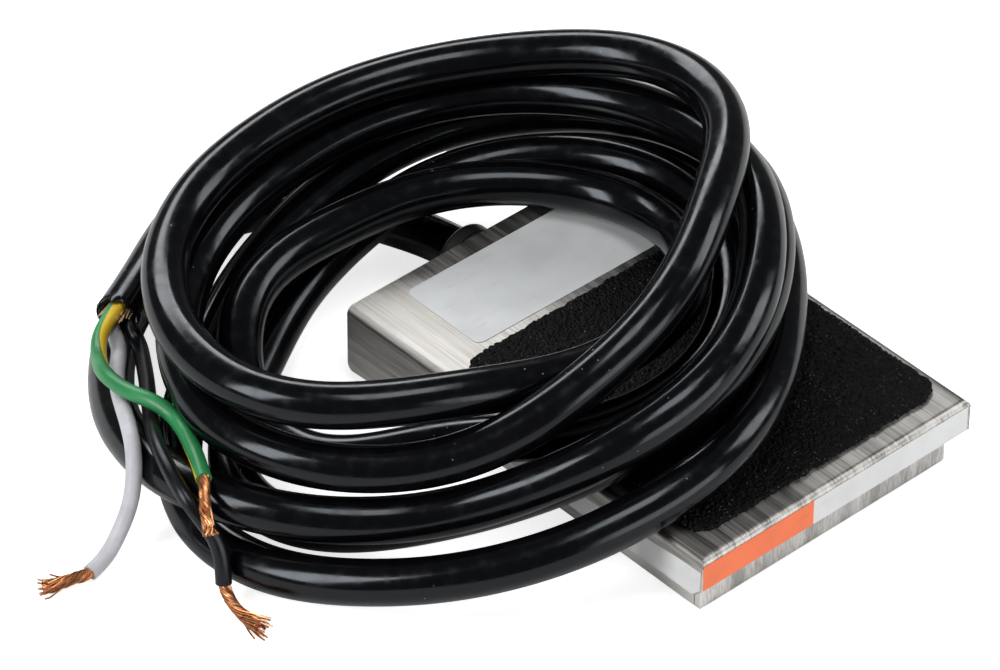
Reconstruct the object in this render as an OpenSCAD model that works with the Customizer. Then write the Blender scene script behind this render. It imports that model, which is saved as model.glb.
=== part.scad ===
// Low foot switch: a sheet steel treadle that rocks on two rivets over a sheet steel tray,
// with a small snap switch inside and a coiled mains lead with stripped ends.
// The front is -Y, the treadle is centred on X and Y, and the floor is Z = 0.

/* [Treadle] */
// Width over the side flanges
tread_w = 60.3; // [56:0.1:66]
// Length from the front flange to the rear edge
tread_l = 85.7; // [82:0.1:92]
// Height of the metal top above the floor
tread_top = 15; // [14.6:0.1:17]
// Thickness of the sheet steel
sheet_t = 1.2; // [1:0.05:1.3]
// Outer radius of the bends
bend_r = 1.4; // [1.4:0.1:2]
// Depth of the front flange below the top
front_flange = 6.1; // [5.5:0.1:6.8]
// Depth of the side flanges in front of the step
side_flange = 8; // [7.6:0.1:8.4]
// Depth of the side flanges at the rear edge
rear_flange = 13.2; // [12:0.1:13.5]
// Depth of the side flanges just behind the step
step_flange = 11; // [10:0.1:11.5]
// Distance of the step from the rear edge
step_back = 30.8; // [28:0.1:34]
// Radius at the corner and in the step of the side flanges
flange_r = 1.5; // [0.8:0.1:2]
// Width of the seams at the folded corners
seam = 0.2; // [0.1:0.05:0.3]

/* [Tread pad] */
// Thickness of the gritty pad
grit_t = 1; // [0.6:0.1:1.4]
// Gap from the pad to the left side of the treadle
grit_left = 3.4; // [2.5:0.1:5]
// Gap from the pad to the right side of the treadle
grit_right = 2.2; // [1.5:0.1:4]
// Gap from the pad to the front of the treadle
grit_front = 4.8; // [3:0.1:7]
// Length of the pad
grit_l = 57; // [48:0.1:60]
// Corner radius of the pad
grit_r = 4.5; // [2:0.1:8]

/* [Base] */
// Thickness of the foot pad under the tray
foot_t = 0.8; // [0.5:0.1:1]
// Inset of the foot pad from the tray's sides
foot_inset = 1.6; // [1:0.1:4]
// Gap from the tray's side to the outside of the treadle
side_inset = 2.55; // [2.3:0.05:3]
// Gap from the tray's front to the outside of the treadle
front_inset = 3; // [2.6:0.1:4]
// Gap from the tray's rear wall to the treadle's rear edge
rear_inset = 1.5; // [1:0.1:3]
// Gap between the rear wall and the treadle that rests on it
rest_gap = 0.1; // [0.05:0.05:0.2]
// Gap over the tray's rear side walls
ear_gap = 0.5; // [0.4:0.05:0.8]
// Gap left over the front wall at full stroke
stop_gap = 0.2; // [0.1:0.05:0.4]

/* [Pivot] */
// Distance of the pivot from the treadle's rear edge
pivot_back = 23.25; // [21:0.05:25]
// Depth of the pivot below the metal top
pivot_drop = 4.9; // [4.5:0.1:5.5]
// Full stroke of the treadle in degrees
stroke_deg = 2; // [1.5:0.1:2.1]
// Diameter of the rivets' shanks
rivet_d = 3; // [2.5:0.1:3.2]
// Diameter of the rivets' outer heads
rivet_head_d = 5.6; // [5:0.1:6.4]
// Thickness of the rivets' outer heads
rivet_head_t = 0.8; // [0.5:0.1:1.2]
// Radial play of the flanges on the rivets
pivot_play = 0.05; // [0.02:0.01:0.08]

/* [Return spring] */
// Distance of the spring behind the treadle's front
spring_y = 16; // [12:0.5:20]
// Mean diameter of the spring
spring_d = 6.4; // [5:0.1:8]
// Diameter of the spring wire
spring_wire = 0.7; // [0.5:0.05:0.9]
// Turns of the spring
spring_turns = 6; // [4:1:8]

/* [Snap switch] */
// Length of the switch
switch_l = 12.8; // [12:0.1:14]
// Width of the switch
switch_w = 5.8; // [5.4:0.1:6.6]
// Height of the switch
switch_h = 6.5; // [6:0.1:6.8]
// Distance of the switch in front of the pivot
switch_ahead = 29.6; // [24:0.1:32]
// Height of the switch above the tray's floor
switch_lift = 2.4; // [2.2:0.1:2.6]
// Free height of the plunger
plunger_h = 1.2; // [1.15:0.05:1.3]
// Diameter of the plunger
plunger_d = 2; // [1.5:0.1:2.6]
// Gap between the treadle's stud and the plunger at rest
plunger_gap = 0.25; // [0.2:0.05:0.4]

/* [Cord] */
// Diameter of the cord
cord_d = 7.8; // [7:0.1:8]
// Diameter of an insulated core
core_d = 2.7; // [2.2:0.1:3]
// Diameter of the strain relief's head
relief_d = 11.4; // [10.5:0.1:11.8]
// Length of the strain relief behind the tray
relief_l = 7; // [5:0.1:8]
// Height of the cord's axis where it leaves the tray
exit_z = 7.5; // [7:0.1:8]

/* [Hidden] */

round_fn = 48;
fine_fn = 32;
// Overrun of every cut past the face that it opens
over = 1;
// Clearance between pieces that only lie against each other
fit = 0.05;

// Places of the treadle's faces
side_x = tread_w / 2;
front_y = -tread_l / 2;
rear_y = tread_l / 2;
under_z = tread_top - sheet_t;
step_y = rear_y - step_back;
pivot_y = rear_y - pivot_back;
pivot_z = tread_top - pivot_drop;

// Places of the tray's faces
base_x = side_x - side_inset;
base_front = front_y + front_inset;
base_rear = rear_y - rear_inset;
floor_z = foot_t + sheet_t;
front_wall_z = under_z - (pivot_y - base_front) * sin(stroke_deg) - stop_gap;
rear_wall_z = under_z - rest_gap;
ear_z = under_z - ear_gap;
ear_y = pivot_y - 2 * rivet_d;
ear_slope_y = ear_y - (ear_z - front_wall_z) * 2;

// Places of the switch and what presses it
switch_y = pivot_y - switch_ahead;
switch_z = floor_z + switch_lift;
switch_top = switch_z + switch_h;
plunger_top = switch_top + plunger_h;
stud_z = plunger_top + plunger_gap;
spring_at_y = front_y + spring_y;

module colour_steel() { color("silver") children(); }
module colour_black() { color([0.08, 0.08, 0.09]) children(); }
module colour_copper() { color([0.72, 0.42, 0.24]) children(); }

// Extrudes an outline in X and Z along Y, from y0 to y1
module along_y(y0, y1) {
    translate([0, y1, 0]) rotate([90, 0, 0]) linear_extrude(height = y1 - y0) children();
}

// Extrudes an outline in Y and Z along X, from x0 to x1
module along_x(x0, x1) {
    translate([x0, 0, 0]) rotate([90, 0, 90]) linear_extrude(height = x1 - x0) children();
}

// Puts a shape that stands on Z at a place and turns it to point along +Y
module facing_rear(place) {
    translate(place) rotate([-90, 0, 0]) children();
}

// Puts a shape that stands on Z at a place and turns it to point along +X
module facing_right(place) {
    translate(place) rotate([0, 90, 0]) children();
}

// Removes a square corner of an outline and leaves a round one; signs point out of the corner
module round_corner(x, y, r, sx, sy) {
    difference() {
        translate([x - (sx > 0 ? r : 0), y - (sy > 0 ? r : 0)]) square([r, r]);
        translate([x - sx * r, y - sy * r]) circle(r = r, $fn = round_fn);
    }
}

// Outline of the treadle across its width, with round upper bends
module tread_across(inset, r) {
    half = side_x - inset;
    difference() {
        translate([-half, 0]) square([2 * half, tread_top - inset]);
        round_corner(-half, tread_top - inset, r, -1, 1);
        round_corner(half, tread_top - inset, r, 1, 1);
    }
}

// Outline of the treadle along its length, with the stepped lower edge of its side flanges
module tread_along() {
    step_z = tread_top - step_flange;
    rear_z = tread_top - rear_flange;
    front_z = tread_top - side_flange;
    difference() {
        union() {
            translate([front_y, front_z]) square([tread_l, side_flange]);
            polygon([[step_y, step_z], [rear_y, rear_z], [rear_y, front_z], [step_y, front_z]]);
            round_fillet(step_y, front_z, flange_r);
        }
        round_corner(front_y, tread_top, bend_r, -1, 1);
        round_corner(rear_y, rear_z, flange_r, 1, -1);
        round_corner(step_y, step_z, flange_r / 2, -1, -1);
    }
}

// Fills the inner corner of the step, left of x and below y
module round_fillet(x, y, r) {
    difference() {
        translate([x - r, y - r]) square([r, r]);
        translate([x - r, y - r]) circle(r = r, $fn = round_fn);
    }
}

module treadle_cover() {
    inner_r = bend_r - sheet_t;
    colour_steel() difference() {
        intersection() {
            along_y(front_y, rear_y) tread_across(0, bend_r);
            along_x(-side_x, side_x) tread_along();
        }
        intersection() {
            along_y(front_y + sheet_t, rear_y + over) tread_across(sheet_t, inner_r);
            along_x(-side_x, side_x) difference() {
                translate([front_y + sheet_t, 0]) square([tread_l + over, under_z]);
                round_corner(front_y + sheet_t, under_z, inner_r, -1, 1);
            }
        }
        translate([-side_x + sheet_t, front_y - over, 0])
            cube([tread_w - 2 * sheet_t, sheet_t + 2 * over, tread_top - front_flange]);
        for (s = [-1, 1]) {
            translate([s * (side_x - sheet_t), front_y + sheet_t, 0]) rotate([0, 0, 45 * s])
                translate([-seam / 2, -3 * sheet_t, 0])
                    cube([seam, 3 * sheet_t + over, tread_top - bend_r - fit]);
            facing_right([s * side_x - over - sheet_t, pivot_y, pivot_z])
                cylinder(d = rivet_d + 2 * pivot_play, h = 2 * (over + sheet_t), $fn = round_fn);
        }
        translate([0, switch_y, under_z - over])
            cylinder(d = stud_shank_d, h = sheet_t + 2 * over, $fn = fine_fn);
        translate([0, spring_at_y, under_z - over])
            cylinder(d = stud_shank_d, h = sheet_t + 2 * over, $fn = fine_fn);
    }
}

module tread_pad() {
    x0 = -side_x + grit_left;
    x1 = side_x - grit_right;
    y0 = front_y + grit_front;
    y1 = y0 + grit_l;
    colour_black() translate([0, 0, tread_top]) linear_extrude(height = grit_t) difference() {
        translate([x0, y0]) square([x1 - x0, grit_l]);
        round_corner(x0, y0, grit_r, -1, -1);
        round_corner(x1, y0, grit_r, 1, -1);
        round_corner(x0, y1, grit_r, -1, 1);
        round_corner(x1, y1, grit_r, 1, 1);
    }
}

// Diameters of the two studs under the treadle's top
stud_shank_d = 2.4;
stud_body_d = 4;
stud_nose_r = 0.8;
// How far the studs inside the spring stay clear of its wire, across both sides
spring_ease = 0.4;

// Stud that presses the plunger: a shank riveted through the top and a round-nosed body
module actuator_stud() {
    body_h = under_z - stud_z;
    colour_steel() translate([0, switch_y, stud_z]) rotate_extrude($fn = round_fn) union() {
        difference() {
            square([stud_body_d / 2, body_h - fit]);
            round_corner(stud_body_d / 2, 0, stud_nose_r, 1, -1);
        }
        square([stud_shank_d / 2 - fit, body_h + sheet_t - fit]);
    }
}

// Stud that centres the upper end of the return spring
module spring_stud() {
    nose_h = 1.6 * spring_wire;
    body_d = spring_d - spring_wire - spring_ease;
    colour_steel() translate([0, spring_at_y, under_z]) rotate_extrude($fn = round_fn) union() {
        translate([0, -nose_h]) square([stud_shank_d / 2 - fit, nose_h + sheet_t - fit]);
        translate([0, -nose_h]) difference() {
            square([body_d / 2, nose_h - fit]);
            round_corner(body_d / 2, 0, nose_h / 2, 1, -1);
        }
    }
}

// Outline of the tray across its width, with round lower bends
module tray_across(inset, r) {
    half = base_x - inset;
    difference() {
        translate([-half, foot_t + inset]) square([2 * half, tread_top]);
        round_corner(-half, foot_t + inset, r, -1, -1);
        round_corner(half, foot_t + inset, r, 1, -1);
    }
}

// Outline of the tray along its length, with the upper edge of its walls
module tray_along() {
    difference() {
        polygon([
            [base_front, foot_t], [base_rear, foot_t],
            [base_rear, rear_wall_z], [base_rear - sheet_t, rear_wall_z],
            [base_rear - sheet_t, ear_z], [ear_y, ear_z],
            [ear_slope_y, front_wall_z], [base_front, front_wall_z]
        ]);
        round_corner(base_front, foot_t, bend_r, -1, -1);
        round_corner(base_rear, foot_t, bend_r, 1, -1);
    }
}

module base_tray() {
    inner_r = bend_r - sheet_t;
    notch = 2 * sheet_t;
    colour_steel() difference() {
        intersection() {
            along_y(base_front, base_rear) tray_across(0, bend_r);
            along_x(-base_x, base_x) tray_along();
        }
        intersection() {
            along_y(base_front + sheet_t, base_rear - sheet_t) tray_across(sheet_t, inner_r);
            along_x(-base_x, base_x) difference() {
                translate([base_front + sheet_t, floor_z])
                    square([base_rear - base_front - 2 * sheet_t, tread_top]);
                round_corner(base_front + sheet_t, floor_z, inner_r, -1, -1);
                round_corner(base_rear - sheet_t, floor_z, inner_r, 1, -1);
            }
        }
        for (s = [-1, 1]) {
            for (y = [base_front + sheet_t, base_rear - sheet_t - seam])
                translate([s > 0 ? base_x - sheet_t : -base_x - over, y, floor_z])
                    cube([sheet_t + over, seam, tread_top]);
            facing_right([s * base_x - over - sheet_t, pivot_y, pivot_z])
                cylinder(d = rivet_d + fit, h = 2 * (over + sheet_t), $fn = round_fn);
        }
        facing_rear([0, base_rear - sheet_t - over, exit_z])
            cylinder(d = relief_neck_d + 2 * fit, h = sheet_t + 2 * over, $fn = round_fn);
        translate([ground_x, ground_y, 0])
            cylinder(d = ground_d + fit, h = floor_z + over, $fn = fine_fn);
        for (x = [-1, 1] * bracket_rivet_x)
            translate([x, bracket_rivet_y, 0])
                cylinder(d = bracket_rivet_d + fit, h = floor_z + over, $fn = fine_fn);
        translate([0, spring_at_y, 0])
            cylinder(d = seat_rivet_d + fit, h = floor_z + over, $fn = fine_fn);
    }
}

module foot_pad() {
    x = base_x - foot_inset;
    y0 = base_front + foot_inset;
    y1 = base_rear - foot_inset;
    r = 2 * foot_inset;
    color([0.16, 0.16, 0.17]) linear_extrude(height = foot_t) difference() {
        translate([-x, y0]) square([2 * x, y1 - y0]);
        round_corner(-x, y0, r, -1, -1);
        round_corner(x, y0, r, 1, -1);
        round_corner(-x, y1, r, -1, 1);
        round_corner(x, y1, r, 1, 1);
    }
}

// Rivet that points along +X: a domed head outside the flange, a shank and a closed inner head
module pivot_rivet() {
    shank_l = side_inset + sheet_t + fit;
    dome = rivet_head_t / 2;
    colour_steel() facing_right([0, 0, 0]) union() {
        translate([0, 0, -shank_l]) cylinder(d = rivet_d, h = shank_l + fit, $fn = round_fn);
        translate([0, 0, fit]) rotate_extrude($fn = round_fn) difference() {
            square([rivet_head_d / 2, rivet_head_t]);
            round_corner(rivet_head_d / 2, rivet_head_t, dome, 1, 1);
        }
        translate([0, 0, -shank_l - rivet_head_t])
            cylinder(d = 1.5 * rivet_d, h = rivet_head_t, $fn = round_fn);
    }
}

module pivot_rivet_right() { translate([side_x, pivot_y, pivot_z]) pivot_rivet(); }

module pivot_rivet_left() { mirror([1, 0, 0]) pivot_rivet_right(); }

// Plastic washers that keep the flanges clear of the tray's walls
module spacer_washers() {
    gap = side_inset - sheet_t;
    color("ivory") for (s = [-1, 1])
        facing_right([s > 0 ? base_x : -base_x - gap, pivot_y, pivot_z])
            translate([0, 0, fit]) difference() {
                cylinder(d = 2 * rivet_d, h = gap - 2 * fit, $fn = round_fn);
                translate([0, 0, -over])
                    cylinder(d = rivet_d + 2 * pivot_play, h = gap + 2 * over, $fn = round_fn);
            }
}

// Diameter and depth of the rivet that holds the spring's seat
seat_rivet_d = 2.4;
seat_flange_t = 0.6;

// Seat of the spring: a flange with a centring boss, riveted into the tray's floor
module spring_seat() {
    boss_d = spring_d - spring_wire - spring_ease;
    boss_h = 3 * spring_wire;
    colour_steel() translate([0, spring_at_y, 0]) union() {
        translate([0, 0, foot_t + fit])
            cylinder(d = seat_rivet_d, h = floor_z - foot_t, $fn = fine_fn);
        translate([0, 0, floor_z])
            cylinder(d = spring_d + 2 * spring_wire, h = seat_flange_t, $fn = round_fn);
        translate([0, 0, floor_z])
            cylinder(d = boss_d, h = seat_flange_t + boss_h, $fn = round_fn);
    }
}

function unit(v) = v / norm(v);
function side_of(t) = unit(cross(t, [0, 0, 1]));
function tangent(p, i) =
    unit(p[min(i + 1, len(p) - 1)] - p[max(i - 1, 0)]);

// Ring of points square to a route at its point i
function ring(p, i, r, sides, turn) =
    let (t = tangent(p, i), u = side_of(t), v = cross(u, t))
    [for (k = [0 : sides - 1]) let (a = 360 * (k + turn) / sides) p[i] + r * (cos(a) * u + sin(a) * v)];

// One closed tube along a route, with one radius for each of its points
module tube(p, radii, sides, turn = 0) {
    n = len(p);
    points = [for (i = [0 : n - 1]) each ring(p, i, radii[i], sides, turn)];
    walls = [for (i = [0 : n - 2], k = [0 : sides - 1]) let (
        a = i * sides + k,
        b = i * sides + (k + 1) % sides
    ) each [[a, a + sides, b], [b, a + sides, b + sides]]];
    first = [for (k = [1 : sides - 2]) [0, k, k + 1]];
    last = [for (k = [1 : sides - 2]) [0, k + 1, k] + (n - 1) * sides * [1, 1, 1]];
    polyhedron(points = points, faces = concat(walls, first, last), convexity = 10);
}

module even_tube(p, d, sides, turn = 0) {
    tube(p, [for (q = p) d / 2], sides, turn);
}

// Helix from its seat up to the treadle, with closed end turns
spring_rings = 16;
spring_clear = 0.2;
spring_low = floor_z + seat_flange_t + spring_wire / 2 + fit;
spring_high = under_z - spring_wire / 2 - spring_clear;
spring_steps = spring_turns * spring_rings;
// Share of the spring's height that each closed end turn takes
end_share = 0.06;
function spring_rise(u) = let (c = 1 / spring_turns)
    u < c ? end_share * u / c :
    u > 1 - c ? 1 - end_share * (1 - u) / c :
    end_share + (1 - 2 * end_share) * (u - c) / (1 - 2 * c);
spring_route = [for (i = [0 : spring_steps]) let (a = 360 * i / spring_rings) [
    spring_d / 2 * cos(a),
    spring_at_y + spring_d / 2 * sin(a),
    spring_low + (spring_high - spring_low) * spring_rise(i / spring_steps)
]];

module return_spring() {
    color("gainsboro") even_tube(spring_route, spring_wire, 6);
}

// Sizes of the bracket that carries the switch
bracket_t = 1;
bracket_foot = 7;
bracket_w = 17;
bracket_rivet_d = 2.2;
bracket_rivet_x = 6;
bracket_y = switch_y + switch_w / 2 + fit;
bracket_rivet_y = bracket_y + bracket_t + bracket_foot / 2;
switch_hole_d = 2.1;
switch_hole_x = 3.25;
switch_hole_up = 1.7;
// Radius of a rivet's or screw's round head as a share of its shank's diameter
head_share = 0.9;

// Bent bracket: an upright plate behind the switch and a foot on the tray's floor
module switch_bracket() {
    rise = switch_lift + switch_h - 2 * fit;
    outer_r = 2 * bracket_t;
    colour_steel() difference() {
        along_x(-bracket_w / 2, bracket_w / 2) difference() {
            translate([bracket_y, floor_z]) square([bracket_t + bracket_foot, rise]);
            translate([bracket_y + bracket_t, floor_z + bracket_t]) difference() {
                square([bracket_foot + over, rise]);
                round_corner(0, 0, outer_r - bracket_t, -1, -1);
            }
            round_corner(bracket_y, floor_z, outer_r, -1, -1);
        }
        for (s = [-1, 1]) {
            translate([s * bracket_rivet_x, bracket_rivet_y, floor_z - over])
                cylinder(d = bracket_rivet_d + fit, h = bracket_t + 2 * over, $fn = fine_fn);
            facing_rear([s * switch_hole_x, bracket_y - over, switch_z + switch_hole_up])
                cylinder(d = switch_hole_d, h = bracket_t + 2 * over, $fn = fine_fn);
        }
    }
}

module bracket_rivets() {
    head_h = 0.7;
    colour_steel() for (s = [-1, 1]) translate([s * bracket_rivet_x, bracket_rivet_y, 0]) union() {
        translate([0, 0, foot_t + fit])
            cylinder(d = bracket_rivet_d, h = sheet_t + bracket_t, $fn = fine_fn);
        translate([0, 0, floor_z + bracket_t]) rotate_extrude($fn = fine_fn) difference() {
            square([head_share * bracket_rivet_d, head_h]);
            round_corner(head_share * bracket_rivet_d, head_h, head_h / 2, 1, 1);
        }
    }
}

// Sheet that keeps the terminals off the tray's floor
insulator_t = 0.3;
insulator_reach = 7.5;
module insulator_sheet() {
    color([0.75, 0.72, 0.6])
        translate([-bracket_w / 2, switch_y - switch_w / 2 - insulator_reach, floor_z])
            cube([bracket_w, insulator_reach + switch_w - 2 * bracket_t, insulator_t]);
}

// Height at which the case's lower half meets its cover
split_share = 0.45;
split_z = switch_z + split_share * switch_h;

module switch_block(z0, z1) {
    chamfer = 0.4;
    difference() {
        along_x(-switch_l / 2, switch_l / 2)
            translate([switch_y - switch_w / 2, z0]) square([switch_w, z1 - z0]);
        for (s = [-1, 1]) {
            facing_rear([s * switch_hole_x, switch_y - switch_w, switch_z + switch_hole_up])
                cylinder(d = switch_hole_d, h = 2 * switch_w, $fn = fine_fn);
            translate([s * switch_l / 2, switch_y, switch_top]) rotate([0, 45, 0])
                cube([chamfer, 2 * switch_w, chamfer], center = true);
        }
    }
}

// Sizes of the three terminals
terminal_pitch = 5.08;
terminal_w = 1.2;
terminal_t = 0.5;
terminal_drop = 1.1;
terminal_reach = 5.2;
terminal_in = 1.5;

module switch_case() {
    colour_black() difference() {
        switch_block(switch_z, split_z - fit / 2);
        for (k = [-1, 0, 1])
            translate([k * terminal_pitch - terminal_w / 2 - fit / 2, switch_y - terminal_t / 2 - fit / 2,
                switch_z - over])
                cube([terminal_w + fit, terminal_t + fit, terminal_in + over + fit]);
    }
}

module switch_cover() {
    bore = plunger_d + 4 * fit;
    color([0.55, 0.1, 0.08]) difference() {
        switch_block(split_z + fit / 2, switch_top);
        translate([0, switch_y, split_z + switch_h / 8])
            cylinder(d = bore, h = switch_h, $fn = round_fn);
    }
}

// Plunger that slides down in the switch's cover
module switch_plunger() {
    guide = switch_h / 4;
    tip_r = 0.4;
    color("ivory") translate([0, switch_y, switch_top - guide]) rotate_extrude($fn = round_fn)
        difference() {
            square([plunger_d / 2, guide + plunger_h]);
            round_corner(plunger_d / 2, guide + plunger_h, tip_r, 1, 1);
        }
}

module switch_screws() {
    head_h = 1.2;
    head_d = 3.2;
    slot = 0.5;
    shank_l = switch_w + bracket_t + 2 * fit;
    colour_steel() for (s = [-1, 1])
        facing_rear([s * switch_hole_x, switch_y - switch_w / 2, switch_z + switch_hole_up]) difference() {
            union() {
                translate([0, 0, -head_h])
                    cylinder(d = switch_hole_d - 2 * fit, h = head_h + shank_l, $fn = fine_fn);
                translate([0, 0, -head_h]) cylinder(d = head_d, h = head_h - fit, $fn = fine_fn);
            }
            translate([-head_d, -slot / 2, -head_h - over]) cube([2 * head_d, slot, over + head_h / 2]);
        }
}

// Terminal blade: down out of the case, bent forward, with an eye for its lead
module terminal(k) {
    low = switch_z - terminal_drop;
    back = switch_y + terminal_t / 2;
    tip = switch_y - terminal_reach;
    eye = 0.7;
    color([0.8, 0.75, 0.5]) translate([k * terminal_pitch, 0, 0]) difference() {
        along_x(-terminal_w / 2, terminal_w / 2) difference() {
            union() {
                translate([back - terminal_t, low]) square([terminal_t, terminal_drop + terminal_in]);
                translate([tip, low]) square([back - tip, terminal_t]);
            }
            round_corner(back, low, terminal_t, 1, -1);
        }
        translate([0, tip + terminal_w, low - over]) cylinder(d = eye, h = 3 * over, $fn = fine_fn);
    }
}

module terminal_common() { terminal(-1); }
module terminal_closed() { terminal(0); }
module terminal_open() { terminal(1); }

// Place and sizes of the earth screw and its ring terminal
ground_d = 3.5;
ground_x = 18;
ground_back = 12.35;
ground_y = base_rear - ground_back;
ring_t = 0.8;
ring_d = 7;
tail_l = 7;
tail_w = 3;

module ground_screw() {
    head_h = 1.8;
    slot = 0.7;
    color([0.2, 0.5, 0.25]) translate([ground_x, ground_y, 0]) difference() {
        union() {
            translate([0, 0, foot_t + fit])
                cylinder(d = ground_d, h = sheet_t + ring_t + 2 * fit, $fn = round_fn);
            translate([0, 0, floor_z + ring_t + 2 * fit]) rotate_extrude($fn = round_fn) difference() {
                square([head_share * ground_d, head_h]);
                round_corner(head_share * ground_d, head_h, head_h / 2, 1, 1);
            }
        }
        translate([-ground_d, -slot / 2, floor_z + ring_t + head_h / 2])
            cube([2 * ground_d, slot, head_h]);
    }
}

// Ring terminal with a tail that holds the earth lead
module ground_ring() {
    color("gainsboro") translate([ground_x, ground_y, floor_z + fit]) difference() {
        linear_extrude(height = ring_t) union() {
            circle(d = ring_d, $fn = round_fn);
            translate([-tail_l, -tail_w / 2]) square([tail_l, tail_w]);
        }
        translate([0, 0, -over]) cylinder(d = ground_d + 2 * fit, h = ring_t + 2 * over, $fn = round_fn);
    }
}

// Strain relief: a neck in the tray's rear wall, a head behind it and a lip inside
relief_neck_d = 10;
relief_lip_t = 1.6;
relief_slit = 0.4;
relief_round = 1.2;
relief_groove = 0.5;
relief_end_y = base_rear + relief_l;
module strain_relief() {
    head_r = relief_d / 2;
    colour_black() difference() {
        facing_rear([0, base_rear, exit_z]) rotate_extrude($fn = round_fn) difference() {
            union() {
                translate([0, fit]) square([head_r, relief_l - fit]);
                translate([0, -sheet_t - relief_lip_t]) square([relief_neck_d / 2, sheet_t + 2 * relief_lip_t]);
                translate([0, -sheet_t - relief_lip_t]) square([head_r - 6 * fit, relief_lip_t - fit]);
            }
            translate([0, -over - sheet_t - relief_lip_t])
                square([cord_d / 2, relief_l + sheet_t + relief_lip_t + 2 * over]);
            round_corner(head_r, relief_l, relief_round, 1, 1);
            translate([head_r, relief_l / 2]) circle(r = relief_groove, $fn = fine_fn);
        }
        translate([cord_d / 2 - over, base_rear + relief_l / 3, exit_z - relief_slit / 2])
            cube([relief_d, relief_l, relief_slit]);
    }
}

// Jacket inside the tray, from the strain relief's outer face to where the cores part
jacket_inside = 9;
jacket_end_y = base_rear - jacket_inside;
module inner_jacket() {
    colour_black() facing_rear([0, jacket_end_y, exit_z])
        cylinder(d = cord_d, h = relief_end_y - jacket_end_y, $fn = round_fn);
}

// Routes of the three cores inside the tray
core_ring = 1.7;
core_dip = 1;
core_low = floor_z + core_d / 2 + 0.3;
lead_tip_x = terminal_pitch + terminal_w / 2 + 2 * fit;
lead_tip_y = switch_y - terminal_reach + terminal_w / 2;
lead_tip_z = floor_z + insulator_t + core_d / 2 + 2 * fit;
lead_black_route = [
    [-core_ring, jacket_end_y - fit, exit_z - core_dip], [-3.5, 27, 5.8], [-9, 19, 4.4],
    [-13.5, 10, core_low], [-14.5, 0, core_low], [-14, -8, core_low], [-11.5, -13, core_low],
    [-lead_tip_x - core_d / 2, lead_tip_y, lead_tip_z], [-lead_tip_x, lead_tip_y, lead_tip_z]
];
lead_white_route = [
    [core_ring, jacket_end_y - fit, exit_z - core_dip], [3.4, 27, 5.4], [7.5, 18, 4.4],
    [12.5, 10, core_low], [14.5, 0, core_low], [14, -8, core_low], [11.5, -13, core_low],
    [lead_tip_x + core_d / 2, lead_tip_y, lead_tip_z], [lead_tip_x, lead_tip_y, lead_tip_z]
];
lead_earth_route = [
    [0, jacket_end_y - fit, exit_z + core_ring], [1.6, 30.4, 9.3], [5.5, 28.6, 8.4], [8.5, 28.6, 6],
    [ground_x - tail_l - fit, ground_y, floor_z + ring_t + core_d / 2]
];

module lead_black() { colour_black() even_tube(lead_black_route, core_d, 8); }
module lead_white() { color("whitesmoke") even_tube(lead_white_route, core_d, 8); }
module lead_earth() { color([0.2, 0.6, 0.3]) even_tube(lead_earth_route, core_d, 8); }

// The coil winds round this centre, starting at 90 degrees, with its radius and the height of
// its axis given at every eighth turn: one row a turn, read from the back over the left side
coil_centre = [-20, 25];
coil_radii = [
    [60.6, 58.6, 57.2, 45.6, 51.8, 48.4, 48.6, 47],
    [43.8, 46, 49.8, 42.6, 40.4, 40.3, 50.2, 45.8],
    [45, 48.8, 47.8, 35.1, 32.3, 36.5, 39.2, 32.8],
    [29.8, 36, 39, 31, 38.4, 43.2, 48.1, 40.9],
    [33.8, 33.8, 45.8, 38, 47.6, 49.8, 54.2, 50.5],
    [40.9, 42.5, 56.2, 56.2, 57, 52.3, 57.8, 56.6],
    [58, 54.6]
];
coil_heights = [
    [3.95, 5.4, 13.7, 15.6, 32.4, 38.6, 34, 28.5],
    [24.6, 21.4, 21.4, 24, 38.6, 45.6, 42.7, 36.8],
    [33, 29.6, 30, 31.2, 28.5, 26.5, 20.5, 20.3],
    [20.3, 19.2, 12.8, 18, 20.6, 20.5, 21, 17.9],
    [10.5, 6.6, 4.2, 8.3, 24.4, 30.1, 27.4, 20.6],
    [15.7, 10.2, 4.2, 10.8, 21.3, 21.4, 19.4, 13.9],
    [13.4, 14.2]
];
coil_rings = 24;
// Places a turn in the tables above, and the angle at which they begin
coil_places = 8;
coil_from = 90;
coil_sides = 6;

function flat(rows) = [for (row = rows) each row];
radii_list = flat(coil_radii);
heights_list = flat(coil_heights);
coil_eighths = len(radii_list) - 1;
coil_first = 1;
coil_last = coil_eighths * coil_rings / coil_places - 1;
coil_steps = coil_last - coil_first;

// Smooth curve through a list: the value at t, which counts the list's places
function listed(v, i) = v[max(0, min(i, len(v) - 1))];
function smooth(v, t) =
    let (i = min(floor(t), len(v) - 2), f = t - i)
    let (a = listed(v, i - 1), b = v[i], c = v[i + 1], d = listed(v, i + 2))
    b + 0.5 * f * (c - a + f * (2 * a - 5 * b + 4 * c - d + f * (3 * (b - c) + d - a)));
function coil_point(t) =
    let (a = coil_from + 360 / coil_places * t, r = smooth(radii_list, t))
    [coil_centre.x + r * cos(a), coil_centre.y + r * sin(a), smooth(heights_list, t)];
coil_turns_route = [for (i = [coil_first : coil_last]) coil_point(coil_places * i / coil_rings)];

// Both ends run straight on: one diameter of the cord towards the switch, more at the stripped end
end_straight = 13;
coil_start = coil_turns_route[0] + cord_d * unit(coil_turns_route[0] - coil_turns_route[1]);
coil_end = coil_turns_route[coil_steps]
    + end_straight * unit(coil_turns_route[coil_steps] - coil_turns_route[coil_steps - 1]);
coil_route = concat([coil_start], coil_turns_route, [coil_end]);

// Least distance between the coil's own strands, less the cord's diameter
coil_apart = 5;
coil_gap = min([for (i = [0 : coil_steps], j = [i + coil_apart : 1 : coil_steps])
    norm(coil_turns_route[i] - coil_turns_route[j])]) - cord_d;
echo(coil_least_gap_to_itself = coil_gap);

module cord_coil() { colour_black() even_tube(coil_route, cord_d, coil_sides, 0); }

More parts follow.
